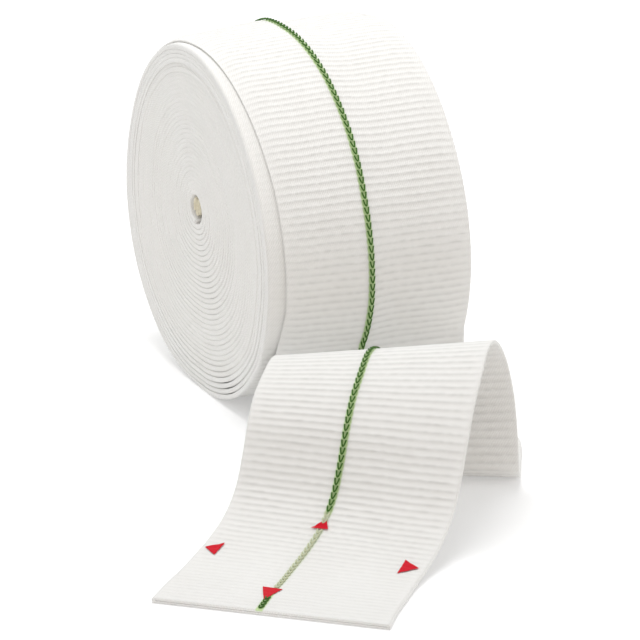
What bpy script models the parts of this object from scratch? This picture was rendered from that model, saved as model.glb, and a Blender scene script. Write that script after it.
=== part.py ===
"""Tubular bandage: a flattened knitted tube wound into a roll, with its free end led over an arch.

The roll stands on the floor with its axle line along X. The free length leaves the roll low on its
front (-Y), runs forward on the floor, rises into a soft arch and lies flat to its cut end.
Units are metres, +Z is up, and the origin is on the floor under the middle of the whole object.
"""
import math

import bmesh
import bpy
from mathutils import Matrix, Vector

MM = 0.001

# Flattened tube
TUBE_WIDTH = 50.0 * MM
FREE_THICKNESS = 1.3 * MM
SLIT_HEIGHT = 0.2 * MM
FOLD_ROUND = 0.45 * MM

# Wound roll
ROLL_RADIUS = 44.0 * MM
CORE_RADIUS = 3.4 * MM
TURN_PITCH = 1.2 * MM
WOUND_THICKNESS = 0.95 * MM
FOLD_SLOPE = 0.4 * MM
INNER_STEPS = 16
OUTER_STEPS = 32
FINE_FROM_RADIUS = 20.0 * MM
SEAM_GAP = 0.3 * MM

# A soft roll sags out of round: leaning, two lobes, three lobes and a flat where it stands
SAG = (
    # lobes, depth as a share of the radius, angle of a high point in degrees from +Y towards +Z
    (1, 0.008, -31.0),
    (2, 0.047, 12.0),
    (3, 0.022, -32.0),
)
STANDING_FLAT = 0.9355
CORE_RISE = 3.4 * MM
LEAVING_ANGLE = math.radians(205.0)

# The near fold of each turn lies a little inward of the face: share of the roll's radius, share
# of the deepest inset, which the last turn has
EDGE_INSET = 4.0 * MM
NEAR_INSET = (
    (0.000, 0.04),
    (0.350, 0.00),
    (0.500, 0.05),
    (0.620, 0.00),
    (0.800, 0.04),
    (0.840, 0.00),
    (0.854, 0.14),
    (0.866, 0.02),
    (0.900, 0.00),
    (0.909, 0.14),
    (0.920, 0.03),
    (0.940, 0.05),
    (0.950, 0.20),
    (0.962, 0.06),
    (0.984, 0.05),
    (0.990, 0.35),
    (0.993, 0.67),
    (0.996, 0.95),
    (0.999, 1.00),
    (1.000, 0.75),
)

# Free length, from where it leaves the roll to the cut end
FREE_START = 21.7 * MM
FREE_REACH = 122.5 * MM
SIDE_REACH = 66.9 * MM
ARCH_HEIGHT = 33.8 * MM
FREE_SECTIONS = 64
SPREAD_SECTIONS = 8
END_FLARE = 1.1 * MM
FLARE_SECTIONS = 14
ROUTE = (
    # forward and sideways as shares of the two reaches, height as a share of the arch's,
    # heading of the tube's width and tilt of its width, both in degrees
    {"forward": 0.164, "side": 0.011, "height": 0.421, "heading": 4.0, "tilt": 0.0},
    {"forward": 0.169, "side": 0.032, "height": 0.191, "heading": 10.0, "tilt": 0.0},
    {"forward": 0.210, "side": 0.060, "height": 0.049, "heading": 17.0, "tilt": 0.0},
    {"forward": 0.272, "side": 0.077, "height": 0.000, "heading": 23.0, "tilt": 0.0},
    {"forward": 0.330, "side": 0.042, "height": 0.000, "heading": 26.0, "tilt": 0.0},
    {"forward": 0.390, "side": -0.013, "height": 0.000, "heading": 27.0, "tilt": 0.0},
    {"forward": 0.454, "side": -0.071, "height": 0.007, "heading": 28.3, "tilt": 0.0},
    {"forward": 0.493, "side": -0.111, "height": 0.101, "heading": 29.9, "tilt": 1.7},
    {"forward": 0.490, "side": -0.112, "height": 0.302, "heading": 31.9, "tilt": 4.0},
    {"forward": 0.473, "side": -0.109, "height": 0.554, "heading": 34.1, "tilt": 6.5},
    {"forward": 0.474, "side": -0.136, "height": 0.797, "heading": 36.2, "tilt": 8.6},
    {"forward": 0.499, "side": -0.189, "height": 0.958, "heading": 37.9, "tilt": 9.2},
    {"forward": 0.542, "side": -0.255, "height": 1.000, "heading": 39.0, "tilt": 8.0},
    {"forward": 0.592, "side": -0.323, "height": 0.932, "heading": 39.7, "tilt": 5.4},
    {"forward": 0.633, "side": -0.385, "height": 0.814, "heading": 40.2, "tilt": 2.6},
    {"forward": 0.666, "side": -0.434, "height": 0.656, "heading": 41.0, "tilt": 0.5},
    {"forward": 0.690, "side": -0.474, "height": 0.454, "heading": 42.0, "tilt": -0.2},
    {"forward": 0.716, "side": -0.521, "height": 0.264, "heading": 43.0, "tilt": 0.0},
    {"forward": 0.755, "side": -0.592, "height": 0.131, "heading": 43.5, "tilt": 0.0},
    {"forward": 0.799, "side": -0.678, "height": 0.050, "heading": 42.6, "tilt": 0.0},
    {"forward": 0.846, "side": -0.764, "height": 0.010, "heading": 41.2, "tilt": 0.0},
    {"forward": 0.893, "side": -0.839, "height": 0.000, "heading": 40.3, "tilt": 0.0},
    {"forward": 0.944, "side": -0.920, "height": 0.000, "heading": 40.5, "tilt": 0.0},
    {"forward": 1.000, "side": -1.000, "height": 0.000, "heading": 40.8, "tilt": 0.0},
)

KNIT_COLOUR = (0.84, 0.83, 0.80, 1.0)


def start_clean():
    """Remove every object of the open scene."""
    for obj in list(bpy.data.objects):
        bpy.data.objects.remove(obj, do_unlink=True)


def knit_material(name, roughness):
    """Off-white elasticated cotton knit."""
    material = bpy.data.materials.new(name)
    material.use_nodes = True
    shader = material.node_tree.nodes["Principled BSDF"]
    shader.inputs["Base Color"].default_value = KNIT_COLOUR
    shader.inputs["Roughness"].default_value = roughness
    shader.inputs["Metallic"].default_value = 0.0
    return material


def table_value(table, x):
    """Straight-line reading of a two-column table."""
    for (x0, y0), (x1, y1) in zip(table, table[1:]):
        if x <= x1:
            return y0 + (y1 - y0) * (x - x0) / (x1 - x0)
    return table[-1][1]


def sag_factor(angle):
    """How far the sagging roll's outline lies from a true circle, as a share of the radius."""
    factor = 1.0
    for lobes, depth, high_at in SAG:
        factor += depth * math.cos(lobes * (angle - math.radians(high_at)))
    down = -math.sin(angle)
    if down > 0.5:
        factor = min(factor, STANDING_FLAT / down)
    return factor


def turn_radius(angle):
    """Radius of the winding at a total winding angle, before it sags."""
    return ROLL_RADIUS - (LEAVING_ANGLE - angle) / math.tau * TURN_PITCH


def place_in_roll(angle):
    """Forward and upward place of the wound tube's middle, seen from the roll's middle."""
    radius = turn_radius(angle)
    reach = radius * sag_factor(angle)
    rise = CORE_RISE * (1.0 - radius / ROLL_RADIUS)
    return reach * math.cos(angle), reach * math.sin(angle) + rise


def roll_centre_height():
    """Height of the roll's centre that stands its outermost turn on the floor."""
    step = math.tau / OUTER_STEPS
    last = math.floor(LEAVING_ANGLE / step)
    last_turn = [index * step for index in range(last - OUTER_STEPS, last + 1)]
    depth = max(-place_in_roll(angle)[1] for angle in last_turn)
    return depth + WOUND_THICKNESS / 2


def spiral_point(angle):
    """Centre of the wound tube at a total winding angle, in the plane across the roll."""
    across, up = place_in_roll(angle)
    return Vector((0.0, across, roll_centre_height() + up))


def near_inset(radius):
    """How far inward of the face a turn's near fold lies."""
    return EDGE_INSET * table_value(NEAR_INSET, radius / ROLL_RADIUS)


def winding_angles():
    """Angles of the sections: coarse steps inside, finer ones outside, and the leaving angle last."""
    turns = (ROLL_RADIUS - CORE_RADIUS) / TURN_PITCH
    coarse = math.tau / INNER_STEPS
    fine = math.tau / OUTER_STEPS
    angle = math.ceil((LEAVING_ANGLE - turns * math.tau) / coarse) * coarse
    angles = []
    while angle < LEAVING_ANGLE - fine / 2:
        angles.append(angle)
        radius = turn_radius(angle)
        at_coarse = abs(angle / coarse - round(angle / coarse)) < 1e-6
        angle += coarse if radius < FINE_FROM_RADIUS and at_coarse else fine
    return angles + [LEAVING_ANGLE]


def wound_ring(centre, outward, inset):
    """Section of the pressed tube in the roll: its folds slope, so each turn's edge shows."""
    near = inset - TUBE_WIDTH / 2
    far = TUBE_WIDTH / 2
    wall = WOUND_THICKNESS / 2
    corners = (
        (near + FOLD_SLOPE, -wall),
        (near, wall),
        (far, wall),
        (far - FOLD_SLOPE, -wall),
    )
    return [centre + Vector((across, 0.0, 0.0)) + outward * out for across, out in corners]


def wound_rings():
    """All sections of the roll, from its core to where the free length leaves it."""
    rings = []
    for angle in winding_angles():
        before = spiral_point(angle - math.pi / OUTER_STEPS)
        after = spiral_point(angle + math.pi / OUTER_STEPS)
        along = (after - before).normalized()
        outward = Vector((0.0, along.z, -along.y))
        inset = near_inset(turn_radius(angle))
        rings.append(wound_ring(spiral_point(angle), outward, inset))
    return rings


def leaving_frame():
    """Place and direction of the tube where the roll ends."""
    centre = spiral_point(LEAVING_ANGLE)
    along = (centre - spiral_point(LEAVING_ANGLE - 0.02)).normalized()
    return centre + Vector((near_inset(ROLL_RADIUS) / 2, 0.0, 0.0)), along


def smooth_value(values, place):
    """Catmull-Rom reading of a list at a fractional index."""
    last = len(values) - 1
    index = min(int(place), last - 1)
    t = place - index
    p1 = values[index]
    p2 = values[index + 1]
    p0 = values[index - 1] if index > 0 else p1 * 2 - p2
    p3 = values[index + 2] if index + 2 <= last else p2 * 2 - p1
    a = p1 * 2
    b = p2 - p0
    c = p0 * 2 - p1 * 5 + p2 * 4 - p3
    d = p1 * 3 - p0 - p2 * 3 + p3
    return (a + b * t + c * t * t + d * t * t * t) * 0.5


def free_route():
    """Centres and width directions of the free length's sections."""
    start, along = leaving_frame()
    floor = FREE_THICKNESS / 2
    centres = [start + along * SEAM_GAP]
    angles = [Vector((0.0, 0.0, 0.0))]
    for row in ROUTE:
        side = row["side"] * SIDE_REACH
        forward = -FREE_START - row["forward"] * FREE_REACH
        height = floor + row["height"] * (ARCH_HEIGHT - floor)
        centres.append(Vector((side, forward, height)))
        angles.append(Vector((row["heading"], row["tilt"], 0.0)))
    places = [i * (len(centres) - 1) / (FREE_SECTIONS - 1) for i in range(FREE_SECTIONS)]
    route = []
    for place in places:
        heading, tilt, unused = smooth_value(angles, place)
        width = Matrix.Rotation(math.radians(-heading), 3, "Z") @ Vector((1.0, 0.0, 0.0))
        rise = math.sin(math.radians(tilt))
        width = width * math.cos(math.radians(tilt)) + Vector((0.0, 0.0, rise))
        centre = smooth_value(centres, place)
        centre.z = max(centre.z, floor + TUBE_WIDTH / 2 * abs(rise))
        route.append((centre, width))
    return route


def free_width(section):
    """Width of the free tube: it spreads as it comes off the roll and flares at the cut end."""
    narrow = near_inset(ROLL_RADIUS) * max(1.0 - section / SPREAD_SECTIONS, 0.0)
    to_end = (FREE_SECTIONS - 1 - section) / FLARE_SECTIONS
    return TUBE_WIDTH - narrow + 2 * END_FLARE * max(1.0 - to_end, 0.0) ** 2


def free_corners(section):
    """Outer and slit corners of one free section."""
    half = free_width(section) / 2
    wall = FREE_THICKNESS / 2
    slit = SLIT_HEIGHT / 2
    outer = (
        (-half, 0.0),
        (-half + FOLD_ROUND, wall),
        (half - FOLD_ROUND, wall),
        (half, 0.0),
        (half - FOLD_ROUND, -wall),
        (-half + FOLD_ROUND, -wall),
    )
    inner = half - wall
    return outer, ((-inner, slit), (inner, slit), (inner, -slit), (-inner, -slit))


def free_rings():
    """Outer and slit sections of the hollow free length."""
    route = free_route()
    outer = []
    inner = []
    for index, (centre, width) in enumerate(route):
        before = route[max(index - 1, 0)][0]
        after = route[min(index + 1, len(route) - 1)][0]
        along = (after - before).normalized()
        line_side = width.cross(along).normalized() * -1.0
        outer_corners, slit_corners = free_corners(index)
        outer.append([centre + width * across + line_side * out for across, out in outer_corners])
        inner.append([centre + width * across + line_side * out for across, out in slit_corners])
    return outer, inner


def add_rings(mesh, rings):
    """Vertices of a list of sections."""
    return [[mesh.verts.new(point) for point in ring] for ring in rings]


def skin_rings(mesh, rings):
    """Quads between each section and the next."""
    for ring, following in zip(rings, rings[1:]):
        count = len(ring)
        for i in range(count):
            j = (i + 1) % count
            mesh.faces.new((ring[i], ring[j], following[j], following[i]))


def finish_solid(name, mesh, material, collection):
    """Turn a closed bmesh into a named object with its faces pointing out."""
    bmesh.ops.recalc_face_normals(mesh, faces=mesh.faces)
    data = bpy.data.meshes.new(name)
    mesh.to_mesh(data)
    mesh.free()
    data.materials.append(material)
    obj = bpy.data.objects.new(name, data)
    collection.objects.link(obj)
    return obj


def wound_roll(collection):
    """The roll: one pressed tube wound on itself from a small core."""
    mesh = bmesh.new()
    rings = add_rings(mesh, wound_rings())
    skin_rings(mesh, rings)
    mesh.faces.new(rings[0])
    mesh.faces.new(rings[-1])
    return finish_solid("wound_roll", mesh, knit_material("wound_knit", 0.9), collection)


def free_length(collection):
    """The free end: a flattened tube, open at both ends through a narrow slit."""
    mesh = bmesh.new()
    outer_points, inner_points = free_rings()
    outer = add_rings(mesh, outer_points)
    inner = add_rings(mesh, inner_points)
    skin_rings(mesh, outer)
    skin_rings(mesh, inner)
    for ring, hole in ((outer[0], inner[0]), (outer[-1], inner[-1])):
        mesh.faces.new((ring[0], ring[1], hole[0], hole[3], ring[5]))
        mesh.faces.new((ring[1], ring[2], hole[1], hole[0]))
        mesh.faces.new((ring[2], ring[3], ring[4], hole[2], hole[1]))
        mesh.faces.new((ring[4], ring[5], hole[3], hole[2]))
    return finish_solid("free_length", mesh, knit_material("free_knit", 0.85), collection)


def set_on_origin(objects):
    """Move the meshes so that the whole object stands on the origin, under its middle."""
    points = [vertex.co for obj in objects for vertex in obj.data.vertices]
    low = Vector([min(point[axis] for point in points) for axis in range(3)])
    high = Vector([max(point[axis] for point in points) for axis in range(3)])
    middle = (low + high) / 2
    move = Matrix.Translation((-middle.x, -middle.y, -low.z))
    for obj in objects:
        obj.data.transform(move)


def build():
    """Make the whole bandage."""
    start_clean()
    collection = bpy.data.collections.new("tubular_bandage")
    bpy.context.scene.collection.children.link(collection)
    objects = [wound_roll(collection), free_length(collection)]
    set_on_origin(objects)


build()
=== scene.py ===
"""Tubular bandage: the ribbed knit, the wound turns, the marker yarn and the printed stretch marks.

The elasticated tube is one flat band. It is wound into a roll, leaves it low on the front, runs over
a soft arch and lies down to its cut end. Lengths are in metres, places in the frame's own axes.
"""
import math

import bpy
import numpy as np
from mathutils import Matrix, Vector, noise


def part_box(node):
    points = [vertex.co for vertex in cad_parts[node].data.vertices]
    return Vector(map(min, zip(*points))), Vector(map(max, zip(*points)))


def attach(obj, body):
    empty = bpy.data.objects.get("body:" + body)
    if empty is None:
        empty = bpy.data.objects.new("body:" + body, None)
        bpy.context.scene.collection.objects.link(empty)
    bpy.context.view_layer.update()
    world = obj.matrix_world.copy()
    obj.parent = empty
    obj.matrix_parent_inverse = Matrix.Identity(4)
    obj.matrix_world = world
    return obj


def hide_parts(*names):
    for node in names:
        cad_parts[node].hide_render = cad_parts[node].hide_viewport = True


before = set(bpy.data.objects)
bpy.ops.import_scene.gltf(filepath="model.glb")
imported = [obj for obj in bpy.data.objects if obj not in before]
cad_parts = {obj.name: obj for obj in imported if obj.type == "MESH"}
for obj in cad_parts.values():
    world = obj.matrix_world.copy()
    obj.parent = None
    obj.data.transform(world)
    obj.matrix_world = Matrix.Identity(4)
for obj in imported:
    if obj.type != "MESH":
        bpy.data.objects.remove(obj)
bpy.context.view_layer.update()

MM = 0.001

# The flat tube
TUBE_WIDTH = 50.0 * MM
FREE_THICKNESS = 1.3 * MM
SLIT_HEIGHT = 0.08 * MM

# The winding
ROLL_RADIUS = 44.0 * MM
CORE_RADIUS = 3.4 * MM
CORE_RISE = 3.4 * MM
TURN_PITCH = 1.2 * MM
WOUND_THICKNESS = 0.95 * MM
SEAM_GAP = 0.3 * MM
SAG = (
    # lobes, depth as a share of the radius, angle of a high point in degrees from +Y towards +Z
    (1, 0.008, -31.0),
    (2, 0.047, 12.0),
    (3, 0.022, -32.0),
)
STANDING_FLAT = 0.9355
LEAVING_ANGLE = math.radians(205.0)
EDGE_INSET = 4.0 * MM
NEAR_INSET = (
    # share of the roll's radius, how far inward of the face a turn's near fold lies
    (0.000, 0.04),
    (0.350, 0.00),
    (0.500, 0.05),
    (0.620, 0.00),
    (0.800, 0.04),
    (0.840, 0.00),
    (0.854, 0.07),
    (0.866, 0.02),
    (0.900, 0.00),
    (0.909, 0.05),
    (0.920, 0.03),
    (0.940, 0.05),
    (0.950, 0.07),
    (0.962, 0.04),
    (0.984, 0.04),
    (0.990, 0.35),
    (0.993, 0.67),
    (0.996, 0.95),
    (0.999, 1.00),
    (1.000, 0.75),
)

# The free length
FREE_START = 21.7 * MM
FREE_REACH = 122.5 * MM
SIDE_REACH = 66.9 * MM
ARCH_HEIGHT = 33.8 * MM
END_FLARE = 1.1 * MM
FLARE_LENGTH = 41.0 * MM
ROUTE = (
    # forward and sideways as shares of the reaches, height as a share of the arch's,
    # heading and tilt of the band's width in degrees
    (0.164, 0.011, 0.421, 4.0, 0.0),
    (0.169, 0.032, 0.191, 10.0, 0.0),
    (0.210, 0.060, 0.049, 17.0, 0.0),
    (0.272, 0.077, 0.000, 23.0, 0.0),
    (0.330, 0.042, 0.000, 26.0, 0.0),
    (0.390, -0.013, 0.000, 27.0, 0.0),
    (0.454, -0.071, 0.007, 28.3, 0.0),
    (0.493, -0.111, 0.101, 29.9, 1.7),
    (0.490, -0.112, 0.302, 31.9, 4.0),
    (0.473, -0.109, 0.554, 34.1, 6.5),
    (0.474, -0.136, 0.797, 36.2, 8.6),
    (0.499, -0.189, 0.958, 37.9, 9.2),
    (0.542, -0.255, 1.000, 39.0, 8.0),
    (0.592, -0.323, 0.932, 39.7, 5.4),
    (0.633, -0.385, 0.814, 40.2, 2.6),
    (0.666, -0.434, 0.656, 41.0, 0.5),
    (0.690, -0.474, 0.454, 42.0, -0.2),
    (0.716, -0.521, 0.264, 43.0, 0.0),
    (0.755, -0.592, 0.131, 43.5, 0.0),
    (0.799, -0.678, 0.050, 42.6, 0.0),
    (0.846, -0.764, 0.010, 41.2, 0.0),
    (0.893, -0.839, 0.000, 40.3, 0.0),
    (0.944, -0.920, 0.000, 40.5, 0.0),
    (1.000, -1.000, 0.000, 40.8, 0.0),
)
SPREAD_LENGTH = 20.0 * MM
FOLD_WANDER = 0.08 * MM

# The knit: crosswise ribs over the elastic threads
RIB_PITCH = 1.72 * MM
RIB_HEIGHT = 0.24 * MM
RIB_WAVINESS = 0.42 * MM
RIB_WAVE_LENGTH = 9.0 * MM
RIB_FULLNESS = 0.72
RIB_UNEVENNESS = 0.5
STEPS_A_RIB = 8
BORE_STEPS = 6
INNER_STEP = 1.6 * MM
CORE_STEP = 0.3 * MM
FOLD_NOSE = 0.24 * MM
PRESSED_NOSE = 0.16 * MM
PLAIN_SHARES = [-0.93, 0.0, 0.93]
CROWN = (
    # share of the width from the seen face, height over the mean surface of the outer turns
    (0.00, -0.70 * MM),
    (0.05, -0.30 * MM),
    (0.20, 0.10 * MM),
    (0.45, 0.85 * MM),
    (0.65, -0.26 * MM),
    (0.80, 0.15 * MM),
    (0.89, 0.30 * MM),
    (1.00, -0.20 * MM),
)
TOP_CROWN = (
    # the same over the top of the roll, where the middle and the far side bulge more
    (0.00, -0.60 * MM),
    (0.05, 0.10 * MM),
    (0.14, 0.20 * MM),
    (0.25, 0.65 * MM),
    (0.35, 1.15 * MM),
    (0.46, 1.60 * MM),
    (0.62, 0.90 * MM),
    (0.77, 1.30 * MM),
    (0.86, 1.55 * MM),
    (0.95, 1.25 * MM),
    (1.00, -0.10 * MM),
)
EDGE_DROOP = 0.9 * MM
EDGE_TAPER = 0.60 * MM
TAPER_LENGTH = 2.2 * MM
BORE_INSET = 0.8 * MM
FLOOR_GAP = 0.01 * MM
FOLD_RIB_FADE = 1.6 * MM

# The turn under the outermost one is seen whole for this length, low on the front of the roll
SHOWN = 52.0 * MM
SHOWN_FADE = 6.0 * MM
# Elsewhere only its edge shows: how high its ribs are there, as a share of the full height, and
# where they end, as shares of the half width
SHOULDER_RIBS = 0.25
SHOULDER_EDGE = -0.66
SHOULDER_FADE = 0.1

# Walls of the wound band, from its middle up to the foot of the ribs and down to its underside
RIBBED_WALL = 0.33 * MM
OUTER_UNDER = 0.72 * MM
SHOULDER_UNDER = 0.58 * MM
SHOULDER_FILL = 0.26 * MM
PRESSED_WALL = 0.60 * MM
CORE_WALL = 0.27 * MM
CORE_NOSE = 0.3 * MM

# Where the band comes free of the roll, and where its ribs grow flatter towards the cut end
FREED_BETWEEN = (-6.0 * MM, 8.0 * MM)
FLATTER_BETWEEN = (48.0 * MM, 18.0 * MM)
FLATTER_BY = 0.65

# The marker yarn, knitted in as one column of loops
YARN_ACROSS = (
    # metres along the band before (-) and after (+) it leaves the roll, place across the band
    (-300.0 * MM, -2.3 * MM),
    (-108.0 * MM, -1.3 * MM),
    (-88.0 * MM, -2.2 * MM),
    (-65.0 * MM, -1.95 * MM),
    (-50.0 * MM, -1.97 * MM),
    (-34.0 * MM, -2.4 * MM),
    (200.0 * MM, -2.45 * MM),
)
YARN_RADIUS = 0.19 * MM
LOOP_WIDTH = 0.98 * MM
LOOP_RISE = 0.22 * MM
FADED_FROM_END = (12.5 * MM, 45.0 * MM)

# The printed marks, in metres across the band and back from its cut end, and where they cover yarn
COVERED_FROM_END = ((7.0 * MM, 12.9 * MM), (40.0 * MM, 42.6 * MM))
STRETCH_MARKS = (
    ((-4.6 * MM, 40.3 * MM), (-0.7 * MM, 40.5 * MM), (-2.1 * MM, 43.5 * MM)),
    ((-24.1 * MM, 29.2 * MM), (-20.8 * MM, 26.3 * MM), (-20.6 * MM, 31.6 * MM)),
    ((23.4 * MM, 30.9 * MM), (19.5 * MM, 33.5 * MM), (19.7 * MM, 27.6 * MM)),
    ((-5.3 * MM, 12.9 * MM), (-2.9 * MM, 5.8 * MM), (-0.8 * MM, 12.6 * MM)),
)
INK_LIFT = 0.05 * MM

# Colours on the knit besides its own, and how far the yarn's green shows beside it
# The valley colour and its strength are painted shade in the rib valleys, partly also the greyer elastic
# thread that shows there.
VALLEY_PAINTED_SHADE_DEPTH = 0.23
VALLEY_PAINTED_SHADE_COLOUR = "8C8A86"
HATCH_SHADE = 0.21
HATCH_COLOUR = "C3C1BD"
GREEN_BESIDE = (0.55 * MM, 1.05 * MM)
GREEN_COLOUR = "C2DF9A"
FADED_GREEN = 0.35

# The length that one unit of the knit's UV map stands for
PATTERN_UNIT = 10.0 * MM

# The even lights: azimuth, elevation and spread in degrees, strength and colour
EVEN_LIGHTS = (
    ("even_overhead", -90.0, 58.0, 60.0, 0.34, "FFFFFF"),
    ("front_fill", -12.0, 7.0, 40.0, 0.34, "FFDDBA"),
    ("side_fill", 55.0, 12.0, 40.0, 0.34, "FFFFFF"),
)


def linear(hex_colour):
    """An sRGB hex colour as linear RGBA."""
    parts = [int(hex_colour[i:i + 2], 16) / 255 for i in (0, 2, 4)]
    return tuple(c / 12.92 if c <= 0.04045 else ((c + 0.055) / 1.055) ** 2.4 for c in parts) + (1.0,)


def put(tree, kind, settings=None, inputs=None):
    """Add a node with its settings; an input takes a value or another node's output."""
    node = tree.nodes.new(kind)
    for name, value in (settings or {}).items():
        setattr(node, name, value)
    for key, value in (inputs or {}).items():
        if isinstance(value, bpy.types.NodeSocket):
            tree.links.new(value, node.inputs[key])
        else:
            node.inputs[key].default_value = value
    return node


def math_node(tree, operation, *values):
    """Output of one sum."""
    return put(tree, "ShaderNodeMath", {"operation": operation}, dict(enumerate(values))).outputs[0]


def table_value(table, x):
    """Straight-line reading of a two-column table."""
    for (x0, y0), (x1, y1) in zip(table, table[1:]):
        if x <= x1:
            return y0 + (y1 - y0) * max(0.0, x - x0) / (x1 - x0)
    return table[-1][1]


def soft_value(table, x):
    """Reading of a two-column table with a soft step between its rows."""
    for (x0, y0), (x1, y1) in zip(table, table[1:]):
        if x <= x1:
            t = max(0.0, x - x0) / (x1 - x0)
            return y0 + (y1 - y0) * t * t * (3 - 2 * t)
    return table[-1][1]


# The band's path

def sag_factor(angle):
    """How far the sagging roll's outline lies from a true circle."""
    factor = 1.0
    for lobes, depth, high_at in SAG:
        factor += depth * math.cos(lobes * (angle - math.radians(high_at)))
    down = -math.sin(angle)
    if down > 0.5:
        factor = min(factor, STANDING_FLAT / down)
    return factor


def turn_radius(angle):
    """Radius of the winding at a total winding angle, before it sags."""
    return ROLL_RADIUS - (LEAVING_ANGLE - angle) / math.tau * TURN_PITCH


def place_in_roll(angle):
    """Forward and upward place of the wound band, seen from the roll's middle."""
    radius = turn_radius(angle)
    reach = radius * sag_factor(angle)
    rise = CORE_RISE * (1.0 - radius / ROLL_RADIUS)
    return reach * math.cos(angle), reach * math.sin(angle) + rise


def axle_place():
    """Middle of the axle line in the frame, read off the solid roll's box."""
    low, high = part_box("wound_roll")
    last_turn = [place_in_roll(LEAVING_ANGLE - math.radians(i)) for i in range(360)]
    back = max(place[0] for place in last_turn) + WOUND_THICKNESS / 2
    depth = max(-place[1] for place in last_turn) + WOUND_THICKNESS / 2
    return Vector((low.x + TUBE_WIDTH / 2, high.y - back, depth))


AXLE = axle_place()


def spiral_point(angle):
    """Middle of the wound band's path at a total winding angle."""
    across, up = place_in_roll(angle)
    return AXLE + Vector((0.0, across, up))


def near_inset(angle):
    """How far inward of the face the near fold lies, with the small wander of a real winding."""
    share = turn_radius(angle) / ROLL_RADIUS
    wander = noise.noise(Vector((math.cos(angle) * 1.1, math.sin(angle) * 1.1, angle * 0.7)))
    return EDGE_INSET * table_value(NEAR_INSET, share) + FOLD_WANDER * wander


def wound_station(angle):
    """Centre, width direction and half width of the wound band."""
    inset = near_inset(angle)
    centre = spiral_point(angle) + Vector((inset / 2, 0.0, 0.0))
    return centre, Vector((1.0, 0.0, 0.0)), (TUBE_WIDTH - inset) / 2


def smooth_value(values, place):
    """Catmull-Rom reading of a list at a fractional index."""
    last = len(values) - 1
    index = min(int(place), last - 1)
    t = place - index
    p1 = values[index]
    p2 = values[index + 1]
    p0 = values[index - 1] if index > 0 else p1 * 2 - p2
    p3 = values[index + 2] if index + 2 <= last else p2 * 2 - p1
    a = p1 * 2
    b = p2 - p0
    c = p0 * 2 - p1 * 5 + p2 * 4 - p3
    d = p1 * 3 - p0 - p2 * 3 + p3
    return (a + b * t + c * t * t + d * t * t * t) * 0.5


def free_stations(count):
    """Centres, width directions and half widths of the free length."""
    start, _, start_half = wound_station(LEAVING_ANGLE)
    along = (start - wound_station(LEAVING_ANGLE - 0.02)[0]).normalized()
    along.x = 0.0
    floor = FREE_THICKNESS / 2
    centres = [start + along * SEAM_GAP]
    angles = [Vector((0.0, 0.0))]
    for forward, side, height, heading, tilt in ROUTE:
        rise = floor + height * (ARCH_HEIGHT - floor)
        reach = FREE_START + forward * FREE_REACH
        centres.append(Vector((AXLE.x + side * SIDE_REACH, AXLE.y - reach, rise)))
        angles.append(Vector((heading, tilt)))
    stations = []
    for i in range(count):
        place = i * (len(centres) - 1) / (count - 1)
        heading, tilt = smooth_value(angles, place)
        width = Matrix.Rotation(math.radians(-heading), 3, "Z") @ Vector((1.0, 0.0, 0.0))
        rise = math.sin(math.radians(tilt))
        width = width * math.cos(math.radians(tilt)) + Vector((0.0, 0.0, rise))
        centre = smooth_value(centres, place)
        centre.z = max(centre.z, floor + TUBE_WIDTH / 2 * abs(rise))
        stations.append((centre, width, start_half))
    return stations


class Band:
    """A stretch of the band, read at even steps along it."""

    def __init__(self, stations, step, leaves_at=None):
        centres = np.array([tuple(station[0]) for station in stations])
        widths = np.array([tuple(station[1]) for station in stations])
        runs = np.linalg.norm(np.diff(centres, axis=0), axis=1)
        self.way = np.concatenate(([0.0], np.cumsum(runs)))
        self.length = self.way[-1]
        self.leaving = self.way[leaves_at] if leaves_at is not None else self.length
        self.along = np.linspace(0.0, self.length, int(self.length / step) + 1)
        self.centre = self.read(centres)
        self.width = unit(self.read(widths))
        self.half = self.read(np.array([[station[2]] for station in stations]))[:, 0]
        run = unit(np.gradient(self.centre, axis=0))
        self.out = unit(np.cross(run, self.width))
        self.run = unit(np.cross(self.width, self.out))

    def read(self, rows):
        """Columns of a table of stations at the band's own steps."""
        columns = [np.interp(self.along, self.way, rows[:, i]) for i in range(rows.shape[1])]
        return np.stack(columns, axis=1)

    def at(self, rows, along):
        """One row, read between steps."""
        return np.array([np.interp(along, self.along, rows[:, i]) for i in range(3)])


def unit(rows):
    """Rows of vectors, each of length one."""
    return rows / np.maximum(np.linalg.norm(rows, axis=-1, keepdims=True), 1e-12)


# Sections of the band

def crowned(centre, across):
    """Height of the turns' surface over the mean one: they bulge between their folds, save where
    the roll stands, and droop where the turn over them lies inward. One row for each centre."""
    offset = centre[:, 0:1] - AXLE.x + across
    share = np.clip(0.5 + offset / TUBE_WIDTH, 0.0, 1.0)
    fine = np.linspace(0.0, 1.0, 201)
    front = np.interp(share, fine, [soft_value(CROWN, x) for x in fine])
    top = np.interp(share, fine, [soft_value(TOP_CROWN, x) for x in fine])
    back = centre[:, 1] - AXLE.y
    up = centre[:, 2] - AXLE.z
    angle = np.degrees(np.arctan2(up, back))
    at_top = (soft_step(angle, 88.0, 66.0) * soft_step(angle, -20.0, 15.0))[:, None]
    inward = (soft_step(angle, 35.0, 115.0) + soft_step(-angle, 145.0, 165.0))[:, None]
    droop = EDGE_DROOP * soft_step(offset, -19.5 * MM, -25.0 * MM) * inward
    radius = np.hypot(back, up)
    outward = np.clip((radius / ROLL_RADIUS - 0.55) / 0.35, 0.0, 1.0)
    standing = soft_step(centre[:, 2], 0.5 * MM, 11.5 * MM)
    return (front * (1 - at_top) + top * at_top - droop) * (outward * standing)[:, None]


def soft_step(value, start, end):
    """A soft step, from 0 at the start to 1 at the end."""
    share = np.clip((value - start) / (end - start), 0.0, 1.0)
    return share * share * (3 - 2 * share)


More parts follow.
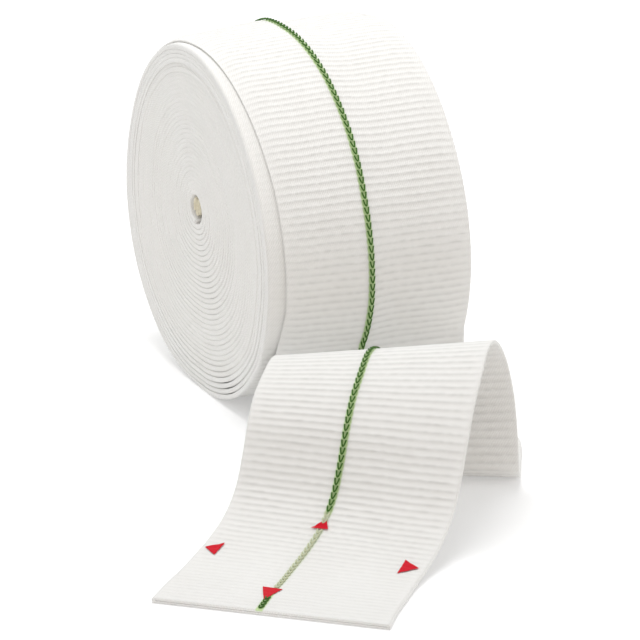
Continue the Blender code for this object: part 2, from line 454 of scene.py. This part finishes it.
def section_across(top, under, nose, nose_steps=5):
    """Places round a flat section as wide as the tube: share of the half width, side (1 on top,
    -1 under, between at the folds). Top and under are lists of shares between the folds."""
    nose = nose / (TUBE_WIDTH / 2)
    flat = 1.0 - nose
    places = []
    for i in range(nose_steps):
        turn = math.radians(-80 + 160 * i / (nose_steps - 1))
        places.append((-flat - nose * math.cos(turn), math.sin(turn)))
    places += [(share, 1.0) for share in top]
    for i in range(nose_steps):
        turn = math.radians(80 - 160 * i / (nose_steps - 1))
        places.append((flat + nose * math.cos(turn), math.sin(turn)))
    places += [(share, -1.0) for share in under]
    return np.array(places)


def even_shares(count):
    """Shares of the half width from the near fold to the far one."""
    return [-0.965 + 1.93 * i / (count - 1) for i in range(count)]


def closed_mesh(name, rings, values, bore=None, bore_rows=None):
    """Skin rings of points into a closed body; a bore has fewer rings, those in bore_rows.

    The values are point attributes, one row for each ring; inside the bore they are the same, save
    that the bore is plain: not ribbed, and without the marker yarn."""
    count, around = rings.shape[:2]
    points = [rings.reshape(-1, 3)]
    faces = ring_faces(count, around, 0, False)
    start, end = np.arange(around), (count - 1) * around + np.arange(around)
    if bore is None:
        faces += [start[::-1].tolist(), end.tolist()]
    else:
        inside = count * around
        points.append(bore.reshape(-1, 3))
        faces += ring_faces(len(bore), around, inside, True)
        last = inside + (len(bore) - 1) * around
        for k in range(around):
            j = (k + 1) % around
            faces.append([int(v) for v in (start[j], start[k], inside + k, inside + j)])
            faces.append([int(v) for v in (end[k], end[j], last + j, last + k)])
    mesh = bpy.data.meshes.new(name)
    mesh.from_pydata(np.concatenate(points).tolist(), [], faces)
    plain = {"rib_share": 0.0, "upper": 0.0}
    for key, rows in values.items():
        full = rows.reshape(-1)
        if bore is not None:
            inner = rows[bore_rows].reshape(-1)
            full = np.concatenate((full, np.full(inner.shape, plain[key]) if key in plain else inner))
        attribute = mesh.attributes.new(key, "FLOAT", "POINT")
        attribute.data.foreach_set("value", full.astype(np.float32))
    lay_pattern(mesh, rings, values["along"], bore_rows)
    mesh.shade_smooth()
    obj = bpy.data.objects.new(name, mesh)
    bpy.context.scene.collection.objects.link(obj)
    return obj


def ring_faces(count, around, base, turned):
    """Quads between rings."""
    faces = []
    for i in range(count - 1):
        for k in range(around):
            j = (k + 1) % around
            a = base + i * around
            quad = [a + k, a + j, a + around + j, a + around + k]
            faces.append(quad[::-1] if turned else quad)
    return faces


def lay_pattern(mesh, rings, along, bore_rows):
    """UV map of the knit: the way round the section and the way along the band."""
    around = rings.shape[1]
    spans = np.linalg.norm(np.roll(rings[0], -1, axis=0) - rings[0], axis=1)
    way_round = np.concatenate(([0.0], np.cumsum(spans)))
    way_along = along.reshape(-1)
    if bore_rows is not None:
        way_along = np.concatenate((way_along, along[bore_rows].reshape(-1)))
    points = np.zeros(len(mesh.loops), dtype=np.int64)
    mesh.loops.foreach_get("vertex_index", points)
    starts = np.zeros(len(mesh.polygons), dtype=np.int64)
    totals = np.zeros(len(mesh.polygons), dtype=np.int64)
    mesh.polygons.foreach_get("loop_start", starts)
    mesh.polygons.foreach_get("loop_total", totals)
    column = points % around
    across = way_round[column]
    face_of = np.repeat(np.arange(len(starts)), totals)
    at_seam = np.zeros(len(starts), dtype=bool)
    np.logical_or.at(at_seam, face_of, column == around - 1)
    quad = np.repeat(totals == 4, totals)
    across = np.where(at_seam[face_of] & (column == 0) & quad, way_round[around], across)
    layer = mesh.uv_layers.new(name="knit")
    pairs = np.stack((across, way_along[points]), axis=1) / PATTERN_UNIT
    layer.data.foreach_set("uv", pairs.astype(np.float32).reshape(-1))


# Geometry Nodes trees

def new_tree(name, sockets):
    """A geometry tree with named inputs."""
    tree = bpy.data.node_groups.new(name, "GeometryNodeTree")
    tree.interface.new_socket("Geometry", in_out="INPUT", socket_type="NodeSocketGeometry")
    for label, kind in sockets:
        tree.interface.new_socket(label, in_out="INPUT", socket_type=kind)
    tree.interface.new_socket("Geometry", in_out="OUTPUT", socket_type="NodeSocketGeometry")
    return tree, tree.nodes.new("NodeGroupInput"), tree.nodes.new("NodeGroupOutput")


def named_value(tree, name, kind="FLOAT"):
    """A point attribute read by name."""
    node = put(tree, "GeometryNodeInputNamedAttribute", {"data_type": kind}, {"Name": name})
    return node.outputs["Attribute"]


def close_tree(tree, geometry, given, result):
    """Every tree ends as real mesh in its own material."""
    real = put(tree, "GeometryNodeRealizeInstances", None, {"Geometry": geometry})
    finish = put(tree, "GeometryNodeSetMaterial", None,
                 {"Geometry": real.outputs[0], "Material": given.outputs["Material"]})
    tree.links.new(finish.outputs[0], result.inputs[0])


def rib_tree():
    """Raises the crosswise ribs of the knit along a band, a little uneven as elastic makes them."""
    tree, given, result = new_tree("crosswise_ribs", (
        ("Rib Pitch", "NodeSocketFloat"),
        ("Rib Height", "NodeSocketFloat"),
        ("Waviness", "NodeSocketFloat"),
        ("Wave Length", "NodeSocketFloat"),
        ("Lift", "NodeSocketFloat"),
        ("Material", "NodeSocketMaterial"),
    ))
    along = named_value(tree, "along")
    across = named_value(tree, "across")
    share = named_value(tree, "rib_share")
    place = put(tree, "ShaderNodeCombineXYZ", None, {
        0: math_node(tree, "DIVIDE", across, given.outputs["Wave Length"]),
        1: math_node(tree, "DIVIDE", along, given.outputs["Wave Length"]),
    }).outputs[0]
    wave = put(tree, "ShaderNodeTexNoise", None, {"Vector": place, "Scale": 1.0, "Detail": 1.0})
    sway = math_node(tree, "SUBTRACT", wave.outputs["Fac"], 0.5)
    sway = math_node(tree, "MULTIPLY", sway, given.outputs["Waviness"])
    phase = math_node(tree, "ADD", along, sway)
    phase = math_node(tree, "DIVIDE", phase, given.outputs["Rib Pitch"])
    bow = math_node(tree, "ABSOLUTE", math_node(tree, "SINE", math_node(tree, "MULTIPLY", phase, math.pi)))
    bow = math_node(tree, "POWER", bow, RIB_FULLNESS)
    fine = put(tree, "ShaderNodeTexNoise", None, {"Vector": place, "Scale": 3.1, "Detail": 2.0})
    uneven = math_node(tree, "MULTIPLY_ADD", fine.outputs["Fac"], RIB_UNEVENNESS, 1 - RIB_UNEVENNESS / 2)
    height = math_node(tree, "MULTIPLY", bow, uneven)
    height = math_node(tree, "MULTIPLY", height, share)
    height = math_node(tree, "MULTIPLY", height, given.outputs["Rib Height"])
    height = math_node(tree, "ADD", height, given.outputs["Lift"])
    normal = tree.nodes.new("GeometryNodeInputNormal").outputs[0]
    move = put(tree, "ShaderNodeVectorMath", {"operation": "SCALE"}, {0: normal, "Scale": height})
    moved = put(tree, "GeometryNodeSetPosition", None,
                {"Geometry": given.outputs["Geometry"], "Offset": move.outputs[0]})
    # How deep a point lies between the ribs, kept for the painted shade in the rib valleys.
    painted_valley_shade = math_node(tree, "MULTIPLY", math_node(tree, "SUBTRACT", 1.0, bow), share)
    kept = put(tree, "GeometryNodeStoreNamedAttribute", {"data_type": "FLOAT", "domain": "POINT"},
               {"Geometry": moved.outputs[0], "Name": "painted_valley_shade", "Value": painted_valley_shade})
    close_tree(tree, kept.outputs[0], given, result)
    return tree


def loop_tree():
    """Sets one open loop of yarn on each point: two strands that meet towards the cut end."""
    tree, given, result = new_tree("column_of_loops", (
        ("Loop Length", "NodeSocketFloat"),
        ("Loop Width", "NodeSocketFloat"),
        ("Yarn Radius", "NodeSocketFloat"),
        ("Rise", "NodeSocketFloat"),
        ("Material", "NodeSocketMaterial"),
    ))
    half_width = math_node(tree, "MULTIPLY", given.outputs["Loop Width"], 0.5)
    minus_half = math_node(tree, "MULTIPLY", half_width, -1.0)
    back = math_node(tree, "MULTIPLY", given.outputs["Loop Length"], -0.5)
    ahead = math_node(tree, "MULTIPLY", given.outputs["Loop Length"], 1.20)
    start = put(tree, "ShaderNodeCombineXYZ", None, {0: minus_half, 1: back})
    middle = put(tree, "ShaderNodeCombineXYZ", None, {1: ahead, 2: given.outputs["Rise"]})
    end = put(tree, "ShaderNodeCombineXYZ", None, {0: half_width, 1: back})
    strand = put(tree, "GeometryNodeCurveQuadraticBezier", None, {
        "Resolution": 10, "Start": start.outputs[0], "Middle": middle.outputs[0], "End": end.outputs[0]})
    outline = put(tree, "GeometryNodeCurvePrimitiveCircle", None,
                  {"Resolution": 6, "Radius": given.outputs["Yarn Radius"]})
    loop = put(tree, "GeometryNodeCurveToMesh", None, {
        "Curve": strand.outputs[0], "Profile Curve": outline.outputs[0], "Fill Caps": True})
    smooth = put(tree, "GeometryNodeSetShadeSmooth", None, {"Geometry": loop.outputs[0]})
    turn = put(tree, "FunctionNodeAxesToRotation", {"primary_axis": "Z", "secondary_axis": "Y"}, {
        "Primary Axis": named_value(tree, "out", "FLOAT_VECTOR"),
        "Secondary Axis": named_value(tree, "run", "FLOAT_VECTOR"),
    })
    points = put(tree, "GeometryNodeMeshToPoints", None, {"Mesh": given.outputs["Geometry"]})
    loops = put(tree, "GeometryNodeInstanceOnPoints", None, {
        "Points": points.outputs[0], "Instance": smooth.outputs[0], "Rotation": turn.outputs[0]})
    close_tree(tree, loops.outputs[0], given, result)
    return tree


def grow(obj, tree, values):
    """Run a tree on an object and keep the result as plain mesh."""
    modifier = obj.modifiers.new(tree.name, "NODES")
    modifier.node_group = tree
    for item in tree.interface.items_tree:
        if item.item_type == "SOCKET" and item.in_out == "INPUT" and item.name in values:
            modifier[item.identifier] = values[item.name]
    graph = bpy.context.evaluated_depsgraph_get()
    mesh = bpy.data.meshes.new_from_object(obj.evaluated_get(graph), depsgraph=graph)
    obj.modifiers.clear()
    points = np.zeros(len(mesh.vertices) * 3)
    mesh.vertices.foreach_get("co", points)
    points[2::3] = np.maximum(points[2::3], FLOOR_GAP)
    mesh.vertices.foreach_set("co", points)
    old = obj.data
    mesh.name = old.name
    obj.data = mesh
    bpy.data.meshes.remove(old)
    return obj


RIBS = rib_tree()
LOOPS = loop_tree()


def raise_ribs(obj, material, lift=0.0):
    """Rib a piece of the band."""
    return grow(obj, RIBS, {
        "Rib Pitch": RIB_PITCH,
        "Rib Height": RIB_HEIGHT,
        "Waviness": RIB_WAVINESS,
        "Wave Length": RIB_WAVE_LENGTH,
        "Lift": lift,
        "Material": material,
    })


# Materials

def new_material(name):
    """A material with its shader and an empty ground."""
    material = bpy.data.materials.new(name)
    material.use_nodes = True
    tree = material.node_tree
    return material, tree, tree.nodes["Principled BSDF"]


def mix_colour(tree, share, first, second):
    """Blend of two colours."""
    node = put(tree, "ShaderNodeMix", {"data_type": "RGBA"}, {0: share, 6: first, 7: second})
    return node.outputs[2]


def bleached_cotton(name, ground, shade, rib_bump=0.0, green_tint_and_painted_shade=False):
    """Bleached cotton knit over elastic: matt, soft, a little warm where the light comes through it.

    The fine stitches are drawn as slanting loops about 0.6 mm wide and 0.9 mm long, flecks of the
    yarn are 0.5 mm, the breaks in the painted shade between ribs 1.7 mm and the clouds in the cloth 11 mm.
    """
    material, tree, shader = new_material(name)
    place = put(tree, "ShaderNodeUVMap", {"uv_map": "knit"}).outputs[0]
    cloud = put(tree, "ShaderNodeTexNoise", None, {"Vector": place, "Scale": 0.9, "Detail": 4.0})
    fleck = put(tree, "ShaderNodeTexNoise", None, {"Vector": place, "Scale": 19.0, "Detail": 3.0})
    colour = mix_colour(tree, cloud.outputs["Fac"], linear(ground), linear(shade))
    pale = put(tree, "ShaderNodeMapRange", None,
               {"Value": fleck.outputs["Fac"], "From Min": 0.35, "From Max": 0.65, "To Max": 0.35})
    colour = mix_colour(tree, pale.outputs[0], colour, linear(shade))
    if green_tint_and_painted_shade:
        beside = put(tree, "ShaderNodeAttribute", {"attribute_name": "beside_yarn"}).outputs["Fac"]
        upper = put(tree, "ShaderNodeAttribute", {"attribute_name": "upper"}).outputs["Fac"]
        near = put(tree, "ShaderNodeMapRange", {"interpolation_type": "SMOOTHSTEP"}, {
            "Value": math_node(tree, "ABSOLUTE", beside),
            "From Min": GREEN_BESIDE[0], "From Max": GREEN_BESIDE[1], "To Min": 1.0, "To Max": 0.0})
        tinted = math_node(tree, "MULTIPLY", near.outputs[0], upper)
        colour = mix_colour(tree, tinted, colour, linear(GREEN_COLOUR))
        # Painted shade: the rib valleys are darkened with a grey, in broken patches, where shade falls
        # between the ribs; partly it stands for the greyer elastic thread that shows there.
        painted_valley_shade = put(tree, "ShaderNodeAttribute", {"attribute_name": "painted_valley_shade"}).outputs["Fac"]
        painted_shade_breaks = put(tree, "ShaderNodeTexNoise", None, {"Vector": place, "Scale": 6.0, "Detail": 3.0})
        depth = put(tree, "ShaderNodeMapRange", None, {
            "Value": painted_shade_breaks.outputs["Fac"], "From Min": 0.35, "From Max": 0.65,
            "To Min": 0.5 * VALLEY_PAINTED_SHADE_DEPTH, "To Max": 1.5 * VALLEY_PAINTED_SHADE_DEPTH})
        painted_valley_shade = math_node(tree, "MULTIPLY", painted_valley_shade, depth.outputs[0])
        colour = mix_colour(tree, painted_valley_shade, colour, linear(VALLEY_PAINTED_SHADE_COLOUR))
    stitch = put(tree, "ShaderNodeTexWave", {"bands_direction": "DIAGONAL"}, {
        "Vector": put(tree, "ShaderNodeMapping", None,
                      {"Vector": place, "Scale": (22.0, 14.0, 1.0)}).outputs[0],
        "Scale": 0.5, "Distortion": 3.5, "Detail": 2.0, "Detail Scale": 1.5})
    fuzz = put(tree, "ShaderNodeTexNoise", None, {"Vector": place, "Scale": 60.0, "Detail": 3.0})
    hatch = math_node(tree, "MULTIPLY", stitch.outputs["Fac"], HATCH_SHADE)
    colour = mix_colour(tree, hatch, colour, linear(HATCH_COLOUR))
    relief = math_node(tree, "MULTIPLY_ADD", stitch.outputs["Fac"], 0.6, fuzz.outputs["Fac"])
    bump = put(tree, "ShaderNodeBump", None, {"Height": relief, "Strength": 0.70, "Distance": 0.12 * MM})
    if rib_bump:
        ribs = put(tree, "ShaderNodeSeparateXYZ", None, {0: place}).outputs[1]
        ribs = math_node(tree, "MULTIPLY", ribs, math.pi * PATTERN_UNIT / RIB_PITCH)
        ribs = math_node(tree, "ABSOLUTE", math_node(tree, "SINE", ribs))
        bump = put(tree, "ShaderNodeBump", None, {
            "Height": ribs, "Strength": 0.8, "Distance": rib_bump, "Normal": bump.outputs[0]})
    tree.links.new(colour, shader.inputs["Base Color"])
    tree.links.new(bump.outputs[0], shader.inputs["Normal"])
    shader.inputs["Roughness"].default_value = 0.92
    shader.inputs["Specular IOR Level"].default_value = 0.18
    shader.inputs["Sheen Weight"].default_value = 0.12
    shader.inputs["Sheen Roughness"].default_value = 0.5
    return material


def dyed_yarn(name, light, dark):
    """Dyed polyester marker yarn: twisted plies about 0.5 mm long, with a slight lustre."""
    material, tree, shader = new_material(name)
    place = put(tree, "ShaderNodeTexCoord").outputs["Object"]
    plies = put(tree, "ShaderNodeTexNoise", None, {"Vector": place, "Scale": 1.0 / (0.5 * MM), "Detail": 2.0})
    colour = mix_colour(tree, plies.outputs["Fac"], linear(light), linear(dark))
    bump = put(tree, "ShaderNodeBump", None,
               {"Height": plies.outputs["Fac"], "Strength": 0.5, "Distance": 0.05 * MM})
    tree.links.new(colour, shader.inputs["Base Color"])
    tree.links.new(bump.outputs[0], shader.inputs["Normal"])
    shader.inputs["Roughness"].default_value = 0.7
    shader.inputs["Specular IOR Level"].default_value = 0.3
    return material


def textile_ink(name, ground, worn):
    """Screen-printed textile ink: a thin matt red film that sinks between the stitches."""
    material, tree, shader = new_material(name)
    place = put(tree, "ShaderNodeTexCoord").outputs["Object"]
    break_up = put(tree, "ShaderNodeTexNoise", None, {
        "Vector": place, "Scale": 1.0 / (0.7 * MM), "Detail": 3.0})
    thin = put(tree, "ShaderNodeMapRange", None,
               {"Value": break_up.outputs["Fac"], "From Min": 0.45, "From Max": 0.75, "To Max": 0.5})
    colour = mix_colour(tree, thin.outputs[0], linear(ground), linear(worn))
    bump = put(tree, "ShaderNodeBump", None,
               {"Height": break_up.outputs["Fac"], "Strength": 0.4, "Distance": 0.06 * MM})
    tree.links.new(colour, shader.inputs["Base Color"])
    tree.links.new(bump.outputs[0], shader.inputs["Normal"])
    shader.inputs["Roughness"].default_value = 0.75
    shader.inputs["Specular IOR Level"].default_value = 0.25
    return material


# Pieces

def rings_round(band, places, top, under, taper=0.0):
    """Rings of points round the band and their places across it."""
    across = places[None, :, 0] * band.half[:, None]
    level = places[None, :, 1]
    height = np.where(level > 0, level * top[:, None], level * under[:, None])
    height = height + crowned(band.centre, across) * band.wound[:, None]
    near_fold = soft_step(across + band.half[:, None], TAPER_LENGTH, 0.0) * np.maximum(level, 0.0)
    height = height - taper * near_fold * band.wound[:, None]
    points = (band.centre[:, None, :] + band.width[:, None, :] * across[:, :, None]
              + band.out[:, None, :] * height[:, :, None])
    points[:, :, 2] = np.maximum(points[:, :, 2], 2 * FLOOR_GAP)
    return points, across


def band_values(band, places, across, share_top, share_under):
    """Point attributes of a band: way along and across, ribbing and place beside the yarn."""
    level = places[None, :, 1]
    yarn = np.array([table_value(YARN_ACROSS, v - band.leaving) for v in band.along])
    near_fold = np.clip((band.half[:, None] - np.abs(across)) / FOLD_RIB_FADE, 0.25, 1.0)
    return {
        "along": np.repeat((band.along - band.leaving)[:, None], len(places), axis=1),
        "across": across,
        "rib_share": np.where(level > 0, share_top, share_under) * near_fold,
        "beside_yarn": across - yarn[:, None],
        "upper": np.where(level > 0.9, 1.0, 0.0) * np.ones(across.shape),
    }


def angle_steps(first, last, step):
    """Even angles from first to last."""
    count = max(2, int(round((last - first) / step)) + 1)
    return [first + (last - first) * i / (count - 1) for i in range(count)]


# Each stretch of the winding meets the next one at the floor, where the roll stands
OUTER_FROM = math.radians(-90.0)
SHOULDER_FROM = OUTER_FROM - math.tau * 4
CORE_ANGLE = LEAVING_ANGLE - (ROLL_RADIUS - CORE_RADIUS) / TURN_PITCH * math.tau
YARN_FROM = LEAVING_ANGLE - math.tau


def inner_turns(material):
    """The turns of which only the folded edges show."""
    band = Band([wound_station(a) for a in angle_steps(CORE_ANGLE, SHOULDER_FROM, math.tau / 72)], INNER_STEP)
    band.wound = np.ones(len(band.along))
    places = section_across(PLAIN_SHARES, PLAIN_SHARES[::-1], PRESSED_NOSE)
    wall = np.full(len(band.along), PRESSED_WALL)
    rings, across = rings_round(band, places, wall, wall)
    none = np.zeros(across.shape)
    obj = closed_mesh("inner_turns", rings, band_values(band, places, across, none, none))
    obj.data.materials.append(material)
    return obj, band


def shoulder_turns(material):
    """The turns under the outermost one, whose ribbed edges show on the shoulder of the roll."""
    stations = [wound_station(a) for a in angle_steps(SHOULDER_FROM + 0.002, OUTER_FROM, math.tau / 180)]
    band = Band(stations, RIB_PITCH / 5)
    band.wound = np.ones(len(band.along))
    edge = [-0.97, -0.93, -0.87, -0.80, -0.72]
    places = section_across(edge + even_shares(12)[2:], PLAIN_SHARES[::-1], PRESSED_NOSE, 4)
    full = np.ones(len(band.along))
    rings, across = rings_round(band, places, full * RIBBED_WALL, full * SHOULDER_UNDER, -SHOULDER_FILL)
    # The last turn is seen whole low on the front, where the outer one has left the roll
    bare = soft_step(band.along - band.length, -SHOWN, SHOWN_FADE - SHOWN)
    at_edge = np.clip((SHOULDER_EDGE - places[None, :, 0]) / SHOULDER_FADE, 0.0, SHOULDER_RIBS)
    ribbed = np.maximum(at_edge, bare[:, None])
    values = band_values(band, places, across, ribbed, ribbed * 0.0)
    values["upper"] = values["upper"] * bare[:, None]
    return raise_ribs(closed_mesh("shoulder_turns", rings, values), material), band


def free_band(first):
    """The outermost turn from an angle on and the free length, as one band."""
    stations = [wound_station(a) for a in angle_steps(first + 0.002, LEAVING_ANGLE, math.tau / 240)]
    leaves_at = len(stations) - 1
    band = Band(stations + free_stations(500), RIB_PITCH / STEPS_A_RIB, leaves_at)
    past = band.along - band.leaving
    to_end = band.length - band.along
    band.freed = soft_step(past, *FREED_BETWEEN)
    band.wound = 1 - band.freed
    flare = END_FLARE * np.clip(1 - to_end / FLARE_LENGTH, 0, 1) ** 2
    spread = np.clip(past / SPREAD_LENGTH, 0, 1)
    band.half = band.half * (1 - spread) + TUBE_WIDTH / 2 * spread + flare
    band.ribbed = 1.0 - FLATTER_BY * soft_step(to_end, *FLATTER_BETWEEN)
    free_wall = FREE_THICKNESS / 2 - RIB_HEIGHT * band.ribbed
    band.top = RIBBED_WALL * band.wound + free_wall * band.freed
    return band


def surface_point(band, along, across, lift):
    """A point on the outer band's upper base surface, raised by lift."""
    centre = band.at(band.centre, along)
    bulge = crowned(centre[None, :], np.array([[across]]))[0, 0]
    bulge *= 1 - np.interp(along, band.along, band.freed)
    height = np.interp(along, band.along, band.top) + bulge + lift
    return centre + band.at(band.width, along) * across + band.at(band.out, along) * height


def outer_band(band, material):
    """Outermost turn and free length: ribbed on both sides, open at the cut end through a slit."""
    places = section_across(even_shares(20), even_shares(10)[::-1], FOLD_NOSE, 4)
    under = OUTER_UNDER * band.wound + band.top * band.freed
    rings, across = rings_round(band, places, band.top, under, EDGE_TAPER)
    ribbed = band.ribbed[:, None] * np.ones(across.shape)
    values = band_values(band, places, across, ribbed, ribbed * band.freed[:, None])
    to_end = band.length - band.along
    faded = (to_end > FADED_FROM_END[0]) & (to_end < FADED_FROM_END[1])
    values["upper"] = values["upper"] * np.where(faded, FADED_GREEN, 1.0)[:, None]
    slit = np.full(len(band.along), SLIT_HEIGHT / 2)
    whole = band.half
    band.half = whole - BORE_INSET - TAPER_LENGTH * band.wound
    bore = rings_round(band, places, slit, slit)[0]
    band.half = whole
    rows = list(range(0, len(bore) - 1, BORE_STEPS)) + [len(bore) - 1]
    obj = closed_mesh("outer_turn_and_free_end", rings, values, bore[rows], rows)
    return raise_ribs(obj, material)


def marker_yarn(band, name, material, keep):
    """One loop of yarn on each rib, along the marker column."""
    points = []
    outs = []
    runs = []
    first = math.ceil(-band.leaving / RIB_PITCH)
    last = math.floor((band.length - band.leaving) / RIB_PITCH)
    for i in range(first, last):
        along = band.leaving + (i + 0.5) * RIB_PITCH
        if not keep(along):
            continue
        across = table_value(YARN_ACROSS, along - band.leaving)
        ribbed = np.interp(along, band.along, band.ribbed)
        # The loops lie half sunk on the ribs' crests
        points.append(surface_point(band, along, across, RIB_HEIGHT * ribbed * 0.9 + YARN_RADIUS * 0.1))
        outs.append(band.at(band.out, along))
        runs.append(band.at(band.run, along))
    mesh = bpy.data.meshes.new(name)
    mesh.from_pydata([tuple(p) for p in points], [], [])
    for key, rows in (("out", outs), ("run", runs)):
        attribute = mesh.attributes.new(key, "FLOAT_VECTOR", "POINT")
        attribute.data.foreach_set("vector", np.array(rows, dtype=np.float32).reshape(-1))
    obj = bpy.data.objects.new(name, mesh)
    bpy.context.scene.collection.objects.link(obj)
    return grow(obj, LOOPS, {
        "Loop Length": RIB_PITCH * 0.98,
        "Loop Width": LOOP_WIDTH,
        "Yarn Radius": YARN_RADIUS,
        "Rise": LOOP_RISE,
        "Material": material,
    })


def stretch_marks(band, material):
    """Four plain triangles of ink that follow the ribs, pointing out along and across the band."""
    rows = 20
    points = []
    faces = []
    values = {"along": [], "across": [], "rib_share": []}
    for corners in STRETCH_MARKS:
        first, second, third = (np.array(corner) for corner in corners)
        base = len(points)
        index = {}
        for i in range(rows + 1):
            for j in range(rows + 1 - i):
                a, b = i / rows, j / rows
                across, back = first + (second - first) * a + (third - first) * b
                along = band.length - back
                index[i, j] = base + len(index)
                points.append(tuple(surface_point(band, along, across, 0.0)))
                values["along"].append(along)
                values["across"].append(across)
                values["rib_share"].append(float(np.interp(along, band.along, band.ribbed)))
        for i in range(rows):
            for j in range(rows - i):
                faces.append((index[i, j], index[i + 1, j], index[i, j + 1]))
                if j < rows - i - 1:
                    faces.append((index[i + 1, j], index[i + 1, j + 1], index[i, j + 1]))
    mesh = bpy.data.meshes.new("stretch_marks")
    mesh.from_pydata(points, [], faces)
    for key, column in values.items():
        attribute = mesh.attributes.new(key, "FLOAT", "POINT")
        attribute.data.foreach_set("value", np.array(column, dtype=np.float32))
    mesh.shade_smooth()
    if mesh.polygons[0].normal.z < 0:
        mesh.flip_normals()
    obj = bpy.data.objects.new("stretch_marks", mesh)
    bpy.context.scene.collection.objects.link(obj)
    return raise_ribs(obj, material, INK_LIFT)


def core_tail(material):
    """The band's inner end, folded to and fro in the hole of the roll."""
    middle = AXLE + Vector((0.0, 0.0, CORE_RISE))
    table = (
        # forward and upward places in the hole, in mm
        (1.9, -1.3), (2.05, 0.0), (1.8, 1.3), (1.25, 1.75), (0.95, 1.0), (0.85, -0.5), (0.65, -1.7),
        (0.15, -2.0), (-0.2, -1.2), (-0.25, 0.3), (-0.5, 1.6), (-1.0, 1.7), (-1.4, 0.9), (-1.5, -0.4),
        (-1.35, -1.3),
    )
    rows = [middle + Vector((0.1 * MM, y * MM, z * MM)) for y, z in table]
    half = TUBE_WIDTH / 2 - 0.5 * MM
    stations = []
    for i in range(90):
        place = smooth_value(rows, i * (len(rows) - 1) / 89)
        stations.append((place, Vector((1.0, 0.0, 0.0)), half))
    band = Band(stations, CORE_STEP)
    band.wound = np.zeros(len(band.along))
    wall = np.full(len(band.along), CORE_WALL)
    places = section_across(PLAIN_SHARES, PLAIN_SHARES[::-1], CORE_NOSE)
    rings, across = rings_round(band, places, wall, wall)
    none = np.zeros(across.shape)
    obj = closed_mesh("core_tail", rings, band_values(band, places, across, none, none))
    obj.data.materials.append(material)
    return obj, band


def dress():
    """Make every piece and set it on the frame."""
    knit = bleached_cotton("bleached_cotton_knit", "F1F1EF", "EAE9E6", green_tint_and_painted_shade=True)
    wound = bleached_cotton("wound_cotton_knit", "F0EFED", "E8E7E3", rib_bump=0.05 * MM)
    core = bleached_cotton("unbleached_core_knit", "F2EBD6", "E2DABF", rib_bump=0.10 * MM)
    green = dyed_yarn("green_marker_yarn", "4A7828", "2C4F16")
    faded = dyed_yarn("faded_marker_yarn", "CDD0B4", "B4BA98")
    red = textile_ink("red_textile_ink", "C8001C", "CC1430")

    turns, turns_band = inner_turns(wound)
    shoulder, shoulder_band = shoulder_turns(knit)
    band = free_band(OUTER_FROM)
    whole = free_band(YARN_FROM)
    outer = outer_band(band, knit)

    def is_faded(along):
        return FADED_FROM_END[0] < whole.length - along < FADED_FROM_END[1]

    def is_bare(along):
        return not any(low < whole.length - along < high for low, high in COVERED_FROM_END)

    yarn = marker_yarn(whole, "marker_yarn", green, lambda v: is_bare(v) and not is_faded(v))
    covered = marker_yarn(whole, "faded_marker_yarn", faded, lambda v: is_bare(v) and is_faded(v))
    marks = stretch_marks(band, red)
    tail, tail_band = core_tail(core)

    for piece in (turns, shoulder, outer, yarn, covered, marks, tail):
        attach(piece, "root")
    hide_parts("wound_roll")
    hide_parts("free_length")


# The studio

def aim(obj, target):
    """Turn a lamp or camera towards a point."""
    obj.rotation_mode = "QUATERNION"
    obj.rotation_quaternion = (target - obj.location).to_track_quat("-Z", "Y")


def around(target, azimuth, elevation, distance):
    """A place seen from target; azimuth 0 is on the -Y side and grows towards +X."""
    a, e = math.radians(azimuth), math.radians(elevation)
    back = Vector((math.sin(a) * math.cos(e), -math.cos(a) * math.cos(e), math.sin(e)))
    return target + back * distance


def even_light(name, azimuth, elevation, spread, strength, colour):
    """One broad even light, as from a large softbox far off."""
    data = bpy.data.lights.new(name, "SUN")
    data.angle = math.radians(spread)
    data.energy = strength
    data.color = linear(colour)[:3]
    obj = bpy.data.objects.new(name, data)
    bpy.context.scene.collection.objects.link(obj)
    obj.location = around(Vector((0.0, 0.0, 0.0)), azimuth, elevation, 1.5)
    aim(obj, Vector((0.0, 0.0, 0.0)))


def softbox(name, place, size, power):
    """A softbox that hangs over a place on the floor."""
    data = bpy.data.lights.new(name, "AREA")
    data.shape = "DISK"
    data.size = size
    data.energy = power
    obj = bpy.data.objects.new(name, data)
    bpy.context.scene.collection.objects.link(obj)
    obj.location = place
    aim(obj, Vector((place.x, place.y, 0.0)))


def studio():
    """White floor, even white surroundings, broad lamps over the roll and behind it, and the camera."""
    bpy.ops.mesh.primitive_plane_add(size=12.0, location=(0.0, 0.0, 0.0))
    floor = bpy.context.object
    floor.name = "studio_floor"
    material, _, shader = new_material("white_studio_paper")
    shader.inputs["Base Color"].default_value = linear("EDEDED")
    shader.inputs["Emission Color"].default_value = linear("FFFFFF")
    shader.inputs["Emission Strength"].default_value = 0.22
    shader.inputs["Roughness"].default_value = 0.95
    shader.inputs["Specular IOR Level"].default_value = 0.1
    floor.data.materials.append(material)

    world = bpy.data.worlds.new("white_surroundings")
    world.use_nodes = True
    ground = world.node_tree.nodes["Background"]
    ground.inputs["Color"].default_value = linear("FFFFFF")
    ground.inputs["Strength"].default_value = 0.605
    scene = bpy.context.scene
    scene.world = world
    scene.view_settings.view_transform = "Standard"
    scene.view_settings.look = "None"

    for row in EVEN_LIGHTS:
        even_light(*row)
    softbox("near_softbox", AXLE + Vector((-0.01, 0.03, 0.44)), 0.30, 1.12)
    softbox("background_softbox", Vector((0.10, 0.85, 0.70)), 0.80, 1.5)

    data = bpy.data.cameras.new("camera")
    data.lens = 281.25
    data.sensor_width = 36.0
    data.clip_start = 0.05
    data.clip_end = 20.0
    camera = bpy.data.objects.new("camera", data)
    scene.collection.objects.link(camera)
    target = AXLE + Vector((-7.98 * MM, -34.37 * MM, -16.28 * MM))
    camera.location = around(target, -23.43, 18.05, 1.150)
    aim(camera, target)
    scene.camera = camera


dress()
studio()
